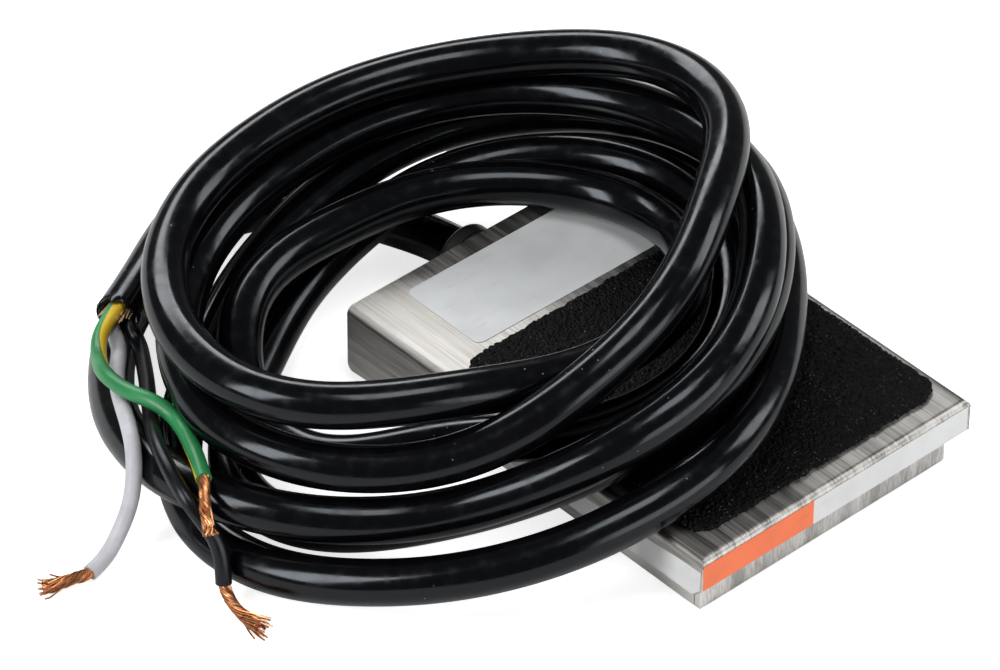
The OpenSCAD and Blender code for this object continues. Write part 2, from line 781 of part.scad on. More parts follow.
// Free stretch of cord from the strain relief to the coil, along the floor behind the switch
cord_lead_route = [
    [0, relief_end_y, exit_z], [-0.1, 52, 7.3], [-0.6, 58, 6], [-1.4, 64, 4.6], [-3, 70, 3.95],
    [-6.5, 76.5, 3.95], [-12.5, 82, 3.95], [-20, 85, 3.95], coil_start
];

module cord_lead() { colour_black() even_tube(cord_lead_route, cord_d, 12); }

// Cores and bared strands at the stripped end: each core starts beside the others on the jacket's
// end face and falls over the coil to the floor
end_side = side_of(coil_end - coil_turns_route[coil_steps]);
function core_start(across, up) = coil_end + across * end_side + [0, 0, up];
strand_d = 1.6;
core_earth_route = [
    core_start(0, core_ring), [-64.2, 65.6, 14.2], [-68.2, 61.2, 14], [-72.1, 54.8, 16.6], [-73.3, 47.6, 18.1],
    [-72.3, 41, 18.9], [-71.8, 36.6, 17.6], [-75.6, 27.9, 18.9], [-78.8, 21.8, 19]
];
core_white_route = [
    core_start(core_ring, -core_dip), [-61.9, 63.9, 11.4], [-70.3, 54, 13.9], [-78.1, 41.4, 16.6],
    [-81.4, 36.3, 15.4], [-84, 34.2, 9.5], [-87.7, 33.4, 4.5], [-91.2, 32.6, 2.1], [-94.7, 32, 1.6]
];
core_black_route = [
    core_start(-core_ring, -core_dip), [-57.9, 64, 10.8], [-60, 60.4, 11], [-64.5, 53.7, 12.5],
    [-69.8, 46.4, 14.2], [-76.3, 37.3, 17], [-80.2, 29.5, 18], [-82.4, 22.5, 17.2], [-82, 18.7, 14.2],
    [-81, 16.4, 10.8], [-81.4, 14.6, 7.6], [-81.9, 13.7, 4]
];
strands_earth_route = [core_earth_route[8], [-81.2, 18.8, 18], [-83, 16.2, 16.4], [-84.2, 14, 14.4]];
strands_white_route = [core_white_route[8], [-97.7, 33, 1.2], [-100.6, 34, 1], [-103.4, 35.6, 1]];
strands_black_route = [
    core_black_route[11], [-82.6, 11.2, 2.2], [-82.8, 8, 1.3], [-82.7, 5, 1], [-82.2, 2, 1]
];

module core_earth() { color([0.2, 0.6, 0.3]) even_tube(core_earth_route, core_d, 8); }
module core_white() { color("whitesmoke") even_tube(core_white_route, core_d, 8); }
module core_black() { colour_black() even_tube(core_black_route, core_d, 8); }
module strands_earth() { colour_copper() even_tube(strands_earth_route, strand_d, 6); }
module strands_white() { colour_copper() even_tube(strands_white_route, strand_d, 6); }
module strands_black() { colour_copper() even_tube(strands_black_route, strand_d, 6); }

treadle_cover();
tread_pad();
actuator_stud();
spring_stud();
base_tray();
foot_pad();
pivot_rivet_left();
pivot_rivet_right();
spacer_washers();
spring_seat();
return_spring();
insulator_sheet();
switch_bracket();
bracket_rivets();
switch_case();
switch_cover();
switch_plunger();
switch_screws();
terminal_common();
terminal_open();
terminal_closed();
ground_screw();
ground_ring();
strain_relief();
inner_jacket();
lead_black();
lead_white();
lead_earth();
cord_lead();
cord_coil();
core_earth();
core_white();
core_black();
strands_earth();
strands_white();
strands_black();
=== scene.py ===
# Looks of the low foot switch: the treadle and tray in brushed steel, the gritty pad, the bare
# labels, the coiled cord with its stripped end, and the parts inside. Metres, in the CAD's frame.
import math
import random

import bmesh
import bpy
import numpy as np
from mathutils import Matrix, Vector, noise


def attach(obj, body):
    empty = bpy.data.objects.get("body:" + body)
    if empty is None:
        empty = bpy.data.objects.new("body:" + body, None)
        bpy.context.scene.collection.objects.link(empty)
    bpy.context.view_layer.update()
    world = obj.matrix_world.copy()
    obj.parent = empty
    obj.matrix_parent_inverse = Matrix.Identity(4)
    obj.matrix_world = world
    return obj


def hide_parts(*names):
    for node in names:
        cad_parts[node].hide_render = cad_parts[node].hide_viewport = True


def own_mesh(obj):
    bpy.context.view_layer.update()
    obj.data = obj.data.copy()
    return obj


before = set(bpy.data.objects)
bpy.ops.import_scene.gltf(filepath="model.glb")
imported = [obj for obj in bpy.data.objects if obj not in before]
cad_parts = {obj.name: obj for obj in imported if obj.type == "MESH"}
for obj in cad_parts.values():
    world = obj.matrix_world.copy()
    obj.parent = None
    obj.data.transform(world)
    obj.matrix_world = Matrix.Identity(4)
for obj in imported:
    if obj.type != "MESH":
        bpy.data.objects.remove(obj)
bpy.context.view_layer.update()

# Shapes are written in millimetres, and MM turns them into metres
MM = 0.001
UP = np.array([0.0, 0.0, 1.0])
scene = bpy.context.scene
scene.view_settings.view_transform = "Standard"


# ---------------------------------------------------------------- camera, as in the photograph
CAMERA_PLACE = (-0.58741, -0.60572, 0.71611)
CAMERA_TURN, CAMERA_TILT, CAMERA_ROLL = math.radians(-42.37), math.radians(39.59), math.radians(0.40)
CAMERA_LENS, CAMERA_SENSOR = 240.3, 36


def put_camera():
    """The camera that was solved from the treadle's straight edges."""
    turn, tilt, roll = CAMERA_TURN, CAMERA_TILT, CAMERA_ROLL
    back = Vector((math.sin(turn) * math.cos(tilt), -math.cos(turn) * math.cos(tilt), math.sin(tilt)))
    right = Vector((math.cos(turn), math.sin(turn), 0))
    up = back.cross(right)
    across = math.cos(roll) * right + math.sin(roll) * up
    upward = -math.sin(roll) * right + math.cos(roll) * up
    data = bpy.data.cameras.new("camera")
    data.sensor_width = CAMERA_SENSOR
    data.lens = CAMERA_LENS
    data.clip_start, data.clip_end = 0.05, 20
    camera = bpy.data.objects.new("camera", data)
    turned = Matrix((across, upward, back)).transposed().to_4x4()
    camera.matrix_world = Matrix.Translation(CAMERA_PLACE) @ turned
    scene.collection.objects.link(camera)
    scene.camera = camera


put_camera()


# ---------------------------------------------------------------- materials
def feed(tree, place, value):
    """Links a Value to an input, or writes a plain number, vector or colour there."""
    if isinstance(value, Value):
        tree.links.new(value.socket, place)
    elif isinstance(value, tuple) and len(value) == 3 and place.type == "RGBA":
        place.default_value = (*value, 1)
    else:
        place.default_value = value


class Value:
    """An output socket that takes part in arithmetic."""

    def __init__(self, tree, socket):
        self.tree, self.socket = tree, socket

    def math(self, operation, *values):
        step = self.tree.nodes.new("ShaderNodeMath")
        step.operation = operation
        for place, value in zip(step.inputs, values):
            feed(self.tree, place, value)
        return Value(self.tree, step.outputs[0])

    def __add__(self, other): return self.math("ADD", self, other)
    def __radd__(self, other): return self.math("ADD", other, self)
    def __sub__(self, other): return self.math("SUBTRACT", self, other)
    def __rsub__(self, other): return self.math("SUBTRACT", other, self)
    def __mul__(self, other): return self.math("MULTIPLY", self, other)
    def __lt__(self, other): return self.math("LESS_THAN", self, other)
    def size(self): return self.math("ABSOLUTE", self)
    def rest(self): return self.math("FRACT", self)

    def between(self, low, high):
        """0 below low, 1 above high, smooth in between."""
        step = self.tree.nodes.new("ShaderNodeMapRange")
        step.interpolation_type = "SMOOTHSTEP"
        self.tree.links.new(self.socket, step.inputs["Value"])
        step.inputs["From Min"].default_value = low
        step.inputs["From Max"].default_value = high
        return Value(self.tree, step.outputs[0])


class Finish:
    """A material round one Principled shader."""

    def __init__(self, name, **plain):
        self.material = bpy.data.materials.new(name)
        self.material.use_nodes = True
        self.tree = self.material.node_tree
        self.tree.nodes.clear()
        self.shader = self.tree.nodes.new("ShaderNodeBsdfPrincipled")
        self.output = self.tree.nodes.new("ShaderNodeOutputMaterial")
        self.tree.links.new(self.shader.outputs[0], self.output.inputs["Surface"])
        for socket, value in plain.items():
            self.set(socket.replace("_", " "), value)

    def set(self, socket, value):
        feed(self.tree, self.shader.inputs[socket], value)

    def node(self, kind, sockets=None, out=0, **settings):
        """An output of a new node, whose inputs are fed from sockets."""
        made = self.tree.nodes.new("ShaderNode" + kind)
        for key, value in settings.items():
            setattr(made, key, value)
        for key, value in (sockets or {}).items():
            feed(self.tree, made.inputs[key], value)
        return Value(self.tree, made.outputs[out])

    def place(self, stretch=(1, 1, 1)):
        """The piece's own coordinates, each times its stretch."""
        spot = self.node("TexCoord", out="Object")
        return self.node("Mapping", {"Vector": spot, "Scale": stretch})

    def along(self):
        """Length along a tube in metres, and the share of the way round it."""
        both = self.node("UVMap", uv_map="lay")
        split = self.tree.nodes.new("ShaderNodeSeparateXYZ")
        self.tree.links.new(both.socket, split.inputs[0])
        return Value(self.tree, split.outputs[0]), Value(self.tree, split.outputs[1])

    def grain(self, scale, detail, stretch=(1, 1, 1), rough=0.5):
        """Noise from 0 to 1; along each axis it is as fine as scale times stretch."""
        return self.node("TexNoise", {
            "Vector": self.place(stretch), "Scale": scale, "Detail": detail, "Roughness": rough})

    def cells(self, scale):
        """The distance to the nearest of many scattered points."""
        return self.node("TexVoronoi", {"Vector": self.place(), "Scale": scale})

    def mix(self, share, first, second):
        """A colour between two: the first where share is 0, the second where it is 1."""
        step = self.tree.nodes.new("ShaderNodeMix")
        step.data_type = "RGBA"
        for place, value in ((step.inputs[0], share), (step.inputs[6], first), (step.inputs[7], second)):
            feed(self.tree, place, value)
        return Value(self.tree, step.outputs[2])

    def bump(self, height, depth, strength):
        self.set("Normal", self.node("Bump", {"Height": height, "Distance": depth, "Strength": strength}))


def brushed_steel(name, lines, dark, light):
    """Sheet steel brushed along the treadle's length, with dull patches."""
    steel = Finish(name, Metallic=1.0)
    fine = steel.grain(1, 3, lines, 0.6)
    broad = steel.grain(1, 2, tuple(value * 0.16 for value in lines), 0.5)
    patches = steel.grain(95, 3)
    tone = (fine * 0.5 + broad * 0.5).between(0.36, 0.64)
    clean = steel.mix(tone, dark, light)
    steel.set("Base Color", steel.mix(patches.between(0.5, 0.78) * 0.28, clean, (0.22, 0.21, 0.195)))
    steel.set("Roughness", 0.27 + tone * 0.14 + patches * 0.12)
    steel.bump(fine * 0.7 + broad * 0.3, 0.00003, 0.6)
    return steel.material


def plated(name, colour):
    """Small plated hardware with faint handling marks."""
    metal = Finish(name, Metallic=1.0)
    cloud = metal.grain(700, 3)
    scratch = metal.grain(1, 2, (900, 5200, 2600))
    metal.set("Base Color", metal.mix(cloud, tuple(c * 0.72 for c in colour), colour))
    metal.set("Roughness", 0.3 + cloud * 0.16 - scratch * 0.08)
    metal.bump(scratch + cloud, 0.00002, 0.5)
    return metal.material


def moulded(name, colour, rough, fine=1500):
    """Moulded plastic: a slight grain, and uneven gloss."""
    plastic = Finish(name)
    cloud, grain = plastic.grain(120, 3), plastic.grain(fine, 2)
    plastic.set("Base Color", plastic.mix(cloud, tuple(c * 0.8 for c in colour), colour))
    plastic.set("Roughness", rough - 0.06 + cloud * 0.16)
    plastic.bump(grain + cloud * 0.4, 0.00003, 0.6)
    return plastic.material


def vinyl(name, colour, rough, ripple, dust):
    """Soft vinyl of the cord: glossy, slightly wavy, with dull drag marks and a little dust."""
    # The bluish specular tint is a painted cool cast of the lamps' light on the highlights, not a colour of the
    # vinyl.
    skin = Finish(name, Specular_IOR_Level=0.34, Specular_Tint=(0.86, 0.93, 1.0))
    wave = skin.grain(60, 1)
    drag = skin.grain(420, 3)
    pores = skin.grain(3500, 2)
    specks = skin.cells(420) < 0.055
    some = skin.grain(60, 1).between(0.55, 0.62)
    colour = skin.mix(drag.between(0.35, 0.75) * 0.5, colour, tuple(c * 1.25 + 0.0008 for c in colour))
    skin.set("Base Color", skin.mix(specks * some * dust, colour, (0.4, 0.4, 0.38)))
    skin.set("Roughness", rough + drag.between(0.42, 0.72) * 0.1 + specks * some * 0.3)
    skin.bump(wave + drag * 0.06 + pores * 0.03, ripple, 0.5)
    return skin.material


def striped_vinyl(name, ground, stripe):
    """Green insulation with one yellow stripe that winds slowly round it."""
    skin = Finish(name)
    length, around = skin.along()
    turn = (around + length * -10 + 0.18).rest()
    wobble = skin.grain(500, 2) * 0.03
    band = ((turn - 0.5).size() + wobble).between(0.17, 0.155)
    cloud = skin.grain(160, 3)
    base = skin.mix(cloud.between(0.3, 0.8), ground, tuple(c * 1.5 + 0.01 for c in ground))
    skin.set("Base Color", skin.mix(band, base, stripe))
    skin.set("Roughness", 0.3 + cloud * 0.16)
    skin.bump(skin.grain(900, 2) + cloud, 0.00004, 0.5)
    return skin.material


def copper():
    """Bare strands: bright where rubbed, brown in the hollows."""
    metal = Finish("copper", Metallic=1.0)
    cloud = metal.grain(900, 3)
    spots = metal.grain(2600, 2)
    metal.set("Base Color", metal.mix(cloud.between(0.3, 0.7), (0.42, 0.16, 0.06), (0.86, 0.42, 0.2)))
    metal.set("Roughness", 0.26 + spots * 0.2)
    metal.bump(spots, 0.00002, 0.5)
    return metal.material


def grit():
    """Coarse black mineral grit bound on a sheet: dull, with glints painted on single grains as light grey
    spots.
    """
    pad = Finish("grit", Specular_IOR_Level=0.11)
    grains = pad.cells(1700)
    cloud = pad.grain(240, 3)
    painted_glint = pad.cells(1500).between(0.2, 0.09)
    base = pad.mix(cloud, (0.001, 0.001, 0.0012), (0.0035, 0.0035, 0.004))
    # The light grey spots on single grains are painted glints, not a colour of the grit.
    pad.set("Base Color", pad.mix(painted_glint * cloud.between(0.44, 0.6) * 0.8, base, (0.2, 0.2, 0.2)))
    pad.set("Roughness", 0.34 + cloud * 0.4)
    pad.bump(0.7 - grains + pad.grain(3600, 2) * 0.5, 0.0004, 1.0)
    return pad.material


def film(name, colour, dull):
    """Label film: flat colour with faint clouding, rubbed spots and a fine orange-peel."""
    sheet = Finish(name)
    cloud = sheet.grain(140, 4)
    rub = sheet.grain(1, 3, (160, 900, 900)).between(0.62, 0.74)
    base = sheet.mix(cloud.between(0.35, 0.75), colour, tuple(c * 0.9 for c in colour))
    sheet.set("Base Color", sheet.mix(rub * 0.3, base, dull))
    sheet.set("Roughness", 0.3 + cloud * 0.14 + rub * 0.12)
    sheet.bump(sheet.grain(1300, 2) + cloud, 0.00002, 0.5)
    return sheet.material


def fibres(name, colour):
    """Pressed fibre or paper filler with short threads."""
    board = Finish(name)
    threads = board.grain(1, 4, (2500, 400, 2500))
    board.set("Base Color", board.mix(threads.between(0.3, 0.7), tuple(c * 0.55 for c in colour), colour))
    board.set("Roughness", 0.8 + threads * 0.15)
    board.bump(threads, 0.0001, 0.7)
    return board.material


STEEL = brushed_steel("brushed_steel", (3200, 60, 1200), (0.29, 0.28, 0.26), (0.64, 0.625, 0.6))
TRAY = brushed_steel("tray_steel", (2600, 70, 400), (0.46, 0.445, 0.42), (0.85, 0.835, 0.81))
ZINC = plated("zinc", (0.7, 0.7, 0.69))
BRASS = plated("terminal_brass", (0.78, 0.66, 0.4))
GREEN_DIP = moulded("green_dip", (0.06, 0.26, 0.09), 0.3)
PHENOLIC = moulded("phenolic", (0.02, 0.02, 0.022), 0.4)
COVER = moulded("cover_red", (0.3, 0.035, 0.025), 0.4)
NYLON = moulded("nylon", (0.8, 0.78, 0.7), 0.38)
BUSHING = moulded("bushing", (0.014, 0.014, 0.015), 0.36, 2400)
RUBBER = moulded("foot_rubber", (0.02, 0.02, 0.021), 0.7, 2600)
JACKET = vinyl("jacket", (0.0016, 0.0016, 0.0022), rough=0.15, ripple=0.00008, dust=0.5)
CORE_BLACK = vinyl("core_black", (0.004, 0.004, 0.005), rough=0.28, ripple=0.00012, dust=0.0)
CORE_WHITE = vinyl("core_white", (0.5, 0.5, 0.53), rough=0.34, ripple=0.00012, dust=0.0)
CORE_EARTH = striped_vinyl("core_earth", (0.018, 0.2, 0.062), (0.8, 0.52, 0.03))
COPPER = copper()
GRIT = grit()
FIBRE = fibres("fibre", (0.5, 0.45, 0.3))
FILLER = fibres("filler", (0.85, 0.62, 0.36))
LABEL = film("bare_label", (0.66, 0.68, 0.685), (0.5, 0.5, 0.5))
STRIP = film("bare_strip", (0.74, 0.745, 0.75), (0.55, 0.55, 0.55))
ORANGE = film("orange_strip", (0.95, 0.19, 0.06), (0.75, 0.17, 0.06))


# ---------------------------------------------------------------- meshes
def piece(name, points, faces, material, body, stands_for=(), lay=None, sharp=40):
    """One finished piece in the CAD's frame: smooth, with its UV map where it has one."""
    mesh = bpy.data.meshes.new(name)
    mesh.from_pydata([tuple(map(float, p)) for p in points], [], faces)
    if lay is not None:
        layer = mesh.uv_layers.new(name="lay")
        layer.data.foreach_set("uv", np.array(lay, np.float32).ravel())
    mesh.materials.append(material)
    mesh.update()
    return settle(name, mesh, body, stands_for, sharp)


def settle(name, mesh, body, stands_for, sharp):
    """Puts a mesh in the scene, on its body; edges sharper than that many degrees stay crisp, 0 marks none."""
    mesh.polygons.foreach_set("use_smooth", [True] * len(mesh.polygons))
    if sharp:
        mesh.set_sharp_from_angle(angle=math.radians(sharp))
    made = bpy.data.objects.new(name, mesh)
    scene.collection.objects.link(made)
    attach(made, body)
    if stands_for:
        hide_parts(*stands_for)
    return made


def baked(name, shell, material):
    """A bmesh written to a mesh with one material."""
    mesh = bpy.data.meshes.new(name)
    shell.to_mesh(mesh)
    shell.free()
    mesh.materials.append(material)
    return mesh


def through(points, step):
    """Even points, about one step apart, on a smooth curve through the given ones."""
    points = np.array(points, float)
    long = np.concatenate([[2 * points[0] - points[1]], points, [2 * points[-1] - points[-2]]])
    out = []
    for k in range(1, len(long) - 2):
        a, b, c, d = long[k - 1:k + 3]
        count = max(2, int(np.linalg.norm(c - b) / step * 2))
        for f in np.arange(count) / count:
            out.append(b + 0.5 * f * (c - a + f * (2 * a - 5 * b + 4 * c - d + f * (3 * (b - c) + d - a))))
    return evenly(np.array(out + [points[-1]]), step)


def evenly(route, step):
    """The same route with its points about one step apart."""
    away = np.concatenate([[0], np.cumsum(np.linalg.norm(np.diff(route, axis=0), axis=1))])
    spots = np.linspace(0, away[-1], max(3, int(away[-1] / step)))
    return np.stack([np.interp(spots, away, route[:, k]) for k in range(3)], axis=1)


def soften(route, reach):
    """Evens out the curvature over a few points, without pulling the bends inwards."""
    spread = np.exp(-0.5 * (np.arange(-3 * reach, 3 * reach + 1) / reach) ** 2)
    spread /= spread.sum()

    def once(line):
        ends = [2 * line[0] - line[3 * reach:0:-1], line, 2 * line[-1] - line[-2:-3 * reach - 2:-1]]
        padded = np.concatenate(ends)
        return np.stack([np.convolve(padded[:, k], spread, "valid") for k in range(3)], axis=1)

    first = once(route)
    return 2 * first - once(first)


def frames(route):
    """Directions along and across a route, turned as little as possible from point to point."""
    ahead = np.gradient(route, axis=0)
    ahead /= np.linalg.norm(ahead, axis=1)[:, None]
    side = np.cross(ahead[0], UP if abs(ahead[0][2]) < 0.9 else np.array([1.0, 0, 0]))
    sides = []
    for direction in ahead:
        side = side - direction * side.dot(direction)
        side /= np.linalg.norm(side)
        sides.append(side)
    sides = np.array(sides)
    return ahead, sides, np.cross(sides, ahead)


def tube(name, route, radius, sides, material, body, stands_for, form=None, caps=(True, True)):
    """A tube on a route; form(length, angle) gives the share of the radius there."""
    route = np.array(route, float)
    radius = np.broadcast_to(np.array(radius, float), (len(route),))
    ahead, across, over = frames(route)
    away = np.concatenate([[0], np.cumsum(np.linalg.norm(np.diff(route, axis=0), axis=1))])
    angles = 2 * math.pi * np.arange(sides) / sides
    share = np.ones((len(route), sides)) if form is None else form(away[:, None], angles[None])
    reach = radius[:, None] * share
    rings = (route[:, None] + reach[:, :, None] * (
        np.cos(angles)[None, :, None] * across[:, None] + np.sin(angles)[None, :, None] * over[:, None]))
    points = list(rings.reshape(-1, 3))
    faces, lay = [], []
    for i in range(len(route) - 1):
        for k in range(sides):
            a, b = i * sides + k, i * sides + (k + 1) % sides
            faces.append((a, b, b + sides, a + sides))
            u, v = away[i], away[i + 1]
            lay += [(u, k / sides), (u, (k + 1) / sides), (v, (k + 1) / sides), (v, k / sides)]
    for end, wanted in ((0, caps[0]), (len(route) - 1, caps[1])):
        if wanted:
            ring = [end * sides + k for k in range(sides)]
            faces.append(tuple(ring[::-1] if end == 0 else ring))
            lay += [(away[end], k / sides) for k in range(sides)]
    made = piece(name, points, faces, material, body, stands_for, lay)
    mesh = made.data
    shell = bmesh.new()
    shell.from_mesh(mesh)
    bmesh.ops.recalc_face_normals(shell, faces=shell.faces)
    shell.to_mesh(mesh)
    shell.free()
    return made


# ---------------------------------------------------------------- the cord, from the tray to its stripped end
CORD_R = 3.9 * MM
# Where the cord's axis leaves the tray's rear wall
REAR_Y, CORD_Z = 48.35, 7.5
COIL_CENTRE = np.array([-20, 25]) * MM
# The coil's turns are rows, and their places lie an eighth of a turn apart, from the back on, in degrees
COIL_FROM, COIL_STEP = 90, 45
COIL_RADII = [
    [60.6, 58.6, 57.2, 45.6, 51.8, 48.4, 48.6, 47],
    [43.8, 46, 49.8, 42.6, 40.4, 40.3, 50.2, 45.8],
    [45, 48.8, 47.8, 35.1, 32.3, 36.5, 39.2, 32.8],
    [29.8, 36, 39, 31, 38.4, 43.2, 48.1, 40.9],
    [33.8, 33.8, 45.8, 38, 47.6, 49.8, 54.2, 50.5],
    [40.9, 42.5, 56.2, 56.2, 57, 52.3, 57.8, 56.6],
    [58, 54.6],
]
COIL_HEIGHTS = [
    [3.95, 5.4, 13.7, 15.6, 32.4, 38.6, 34, 28.5],
    [24.6, 21.4, 21.4, 24, 38.6, 45.6, 42.7, 36.8],
    [33, 29.6, 30, 31.2, 28.5, 26.5, 20.5, 20.3],
    [20.3, 19.2, 12.8, 18, 20.6, 20.5, 21, 17.9],
    [10.5, 6.6, 4.2, 8.3, 24.4, 30.1, 27.4, 20.6],
    [15.7, 10.2, 4.2, 10.8, 21.3, 21.4, 19.4, 13.9],
    [13.4, 14.2],
]
LEAD = [
    (0, REAR_Y, CORD_Z), (-0.1, 52, 7.3), (-0.6, 58, 6), (-1.4, 64, 4.6), (-3, 70, 3.95), (-6.5, 76.5, 3.95),
    (-12.5, 82, 3.95), (-20, 85, 3.95),
]
END_RUN = 13
radii, heights = ([value for row in table for value in row] for table in (COIL_RADII, COIL_HEIGHTS))


def smooth_value(values, t):
    """A smooth curve through the values, read at place t."""
    i = min(int(t), len(values) - 2)
    f = t - i
    a, b, c, d = (values[max(0, min(k, len(values) - 1))] for k in range(i - 1, i + 3))
    return b + 0.5 * f * (c - a + f * (2 * a - 5 * b + 4 * c - d + f * (3 * (b - c) + d - a)))


def coil_point(t):
    """The cord's axis at place t of the tables."""
    angle = math.radians(COIL_FROM + COIL_STEP * t)
    r = smooth_value(radii, t) * MM
    return np.array([COIL_CENTRE[0] + r * math.cos(angle), COIL_CENTRE[1] + r * math.sin(angle),
                     smooth_value(heights, t) * MM])


# Three points from place to place; a straight run is added at the cut end, and a point before the first turn
coil = [coil_point(k / 3) for k in range(1, 3 * (len(radii) - 1))]
straight = (coil[-1] - coil[-2]) / np.linalg.norm(coil[-1] - coil[-2])
coil.append(coil[-1] + END_RUN * MM * straight)
start = coil[0] + 2 * CORD_R * (coil[0] - coil[1]) / np.linalg.norm(coil[0] - coil[1])
controls = [np.array(p) * MM for p in LEAD] + [start] + coil
cord_route = soften(through(controls, 1.25 * MM), 5)
cord_route[:, 2] = np.maximum(cord_route[:, 2], CORD_R + 0.02 * MM)


def jacket_form(length, angle):
    """The three twisted cores show as very shallow lumps that wind round the jacket."""
    depth, twist = 0.006, 0.085
    lumps = depth * np.cos(3 * (angle - 2 * math.pi * length / twist))
    slow = depth * np.sin(length * 61) * np.cos(2 * angle + length * 23)
    return 1 - depth + lumps + slow


cord = tube("cord", cord_route, CORD_R, 30, JACKET, "base", ("cord_lead", "cord_coil"),
            jacket_form, (True, False))

# The jacket's cut end: a ragged rim, its wall, and a dark hollow
ahead, across, over = (v[-1] for v in frames(cord_route))
cord_end = cord_route[-1]


def torn_rim():
    """Rings over the rim from the outside in: radius, how far forward, and how torn."""
    count = 60
    spin = random.Random(4)
    rough = [spin.uniform(-1, 1) for _ in range(count)]
    rough = [(rough[k - 1] + rough[k] + rough[(k + 1) % count]) / 2 for k in range(count)]
    points, faces = [], []
    rings = [(3.88, -0.9, 0.0), (3.92, 0.0, 0.5), (3.7, 0.45, 0.7),
             (3.2, 0.4, 0.55), (2.95, -0.1, 0.3), (2.9, -3.2, 0)]
    for radius, forward, tear in rings:
        for k in range(count):
            a = 2 * math.pi * k / count
            push = forward + tear * rough[k]
            radial = radius * (1 + 0.01 * rough[(k * 7) % count] * (tear > 0))
            points.append(cord_end + MM * (push * ahead + radial * (math.cos(a) * across + math.sin(a) * over)))
    for i in range(len(rings) - 1):
        for k in range(count):
            j = (k + 1) % count
            faces.append((i * count + k, i * count + j, (i + 1) * count + j, (i + 1) * count + k))
    faces.append(tuple((len(rings) - 1) * count + k for k in range(count)))
    return piece("jacket_rim", points, faces, JACKET, "base", sharp=60)


rim = torn_rim()


# ---------------------------------------------------------------- the three cores and their bare strands
CORE_R, CORE_INSIDE = 1.35, 4


def core_start(across_mm, up_mm):
    """Where a core leaves the jacket, in mm: aside of the jacket's axis, and above it."""
    aside = np.cross(ahead, UP)
    aside /= np.linalg.norm(aside)
    return (cord_end + MM * across_mm * aside + MM * up_mm * UP) / MM


def core(name, node, begin, rest, material):
    """One insulated core: it comes out of the jacket and lies over the coil."""
    inside = begin - CORE_INSIDE * ahead
    route = through(np.array([inside, begin] + [np.array(p, float) for p in rest]) * MM, 0.6 * MM)
    route = soften(route, 4)
    return tube(name, route, CORE_R * MM, 24, material, "base", (node,)), route


def strands(name, node, core_route, rest, seed, tail):
    """A bundle of fine copper wires, twisted together, that comes loose past the tail share of its length."""
    spin = random.Random(seed)
    step, twist, thin, sides = 0.35, 7.5, 0.15, 5
    stations = [core_route[-6] / MM, core_route[-1] / MM] + [np.array(p, float) for p in rest]
    line = through(np.array(stations) * MM, step * MM)
    _, one, two = frames(line)
    total = len(line)
    points, faces = [], []
    # Each wire: its distance from the bundle's axis, and its share of the way round
    wires = [(0.0, 0.0)] + [(0.34, k / 6) for k in range(6)] + [(0.66, k / 12) for k in range(12)]
    wires += [(0.86, k / 14 + 0.02) for k in range(14)]
    for radius, place in wires:
        r = radius * spin.uniform(0.92, 1.08)
        lag = spin.uniform(-0.02, 0.02)
        stray = spin.random() < 0.3
        loose = spin.uniform(0.5, 1.3) * (2.4 if stray else 1.0)
        drift = np.array([spin.uniform(-1, 1), spin.uniform(-1, 1)])
        stop = total - spin.randrange(0, 7) - 1
        path = []
        for k in range(0, stop, 2):
            share = k / total
            open_up = max(0.0, share - tail) / (1 - tail)
            turn = 2 * math.pi * (place + lag + k * step / twist * (1 - 0.35 * open_up))
            spread = r * (1 + 0.12 * math.sin(k * 0.21 + place * 9)) + loose * 0.75 * open_up ** 1.6
            off = spread * (math.cos(turn) * one[k] + math.sin(turn) * two[k])
            off = off + loose * 0.8 * open_up ** 2 * (drift[0] * one[k] + drift[1] * two[k])
            spot = line[k] + MM * off
            spot[2] = max(spot[2], 0.16 * MM)
            path.append(spot)
        path = np.array(path)
        _, left, top = frames(path)
        first = len(points)
        for k in range(len(path)):
            for s in range(sides):
                a = 2 * math.pi * s / sides
                points.append(path[k] + MM * thin * (math.cos(a) * left[k] + math.sin(a) * top[k]))
        for k in range(len(path) - 1):
            for s in range(sides):
                a, b = first + k * sides + s, first + k * sides + (s + 1) % sides
                faces.append((a, a + sides, b + sides, b))
        faces.append(tuple(first + s for s in range(sides)))
        faces.append(tuple(first + (len(path) - 1) * sides + s for s in reversed(range(sides))))
    return piece(name, points, faces, COPPER, "base", (node,))


# Where each core lies beyond the jacket; at the rim the three stand in a triangle
EARTH = [(-64.2, 65.6, 14.2), (-68.2, 61.2, 14), (-72.1, 54.8, 16.6), (-73.3, 47.6, 18.1), (-72.3, 41, 18.9),
         (-71.8, 36.6, 17.6), (-75.6, 27.9, 18.9), (-78.8, 21.8, 19)]
WHITE = [(-61.9, 63.9, 11.4), (-70.3, 54, 13.9), (-78.1, 41.4, 16.6), (-81.4, 36.3, 15.4), (-84, 34.2, 9.5),
         (-87.7, 33.4, 4.5), (-91.2, 32.6, 2.1), (-94.7, 32, 1.6)]
BLACK = [(-57.9, 64, 10.8), (-60, 60.4, 11), (-64.5, 53.7, 12.5), (-69.8, 46.4, 14.2), (-76.3, 37.3, 17),
         (-80.2, 29.5, 18), (-82.4, 22.5, 17.2), (-82, 18.7, 14.2), (-81, 16.4, 10.8), (-81.4, 14.6, 7.6),
         (-81.9, 13.7, 4)]
RING, DIP = 1.7, 1
earth, earth_line = core("insulated_earth", "core_earth", core_start(0, RING), EARTH, CORE_EARTH)
white, white_line = core("insulated_white", "core_white", core_start(RING, -DIP), WHITE, CORE_WHITE)
black, black_line = core("insulated_black", "core_black", core_start(-RING, -DIP), BLACK, CORE_BLACK)
bare = [
    strands("wires_earth", "strands_earth", earth_line,
            [(-81.2, 18.8, 18), (-83, 16.2, 16.4), (-84.2, 14, 14.4)], seed=3, tail=0.8),
    strands("wires_white", "strands_white", white_line,
            [(-97.7, 33, 1.3), (-100.6, 34, 1.1), (-103.4, 35.6, 1.1)], seed=5, tail=0.45),
    strands("wires_black", "strands_black", black_line,
            [(-82.6, 11.2, 2.2), (-82.8, 8, 1.4), (-82.7, 5, 1.2), (-82.2, 2, 1.1)], seed=8, tail=0.5),
]


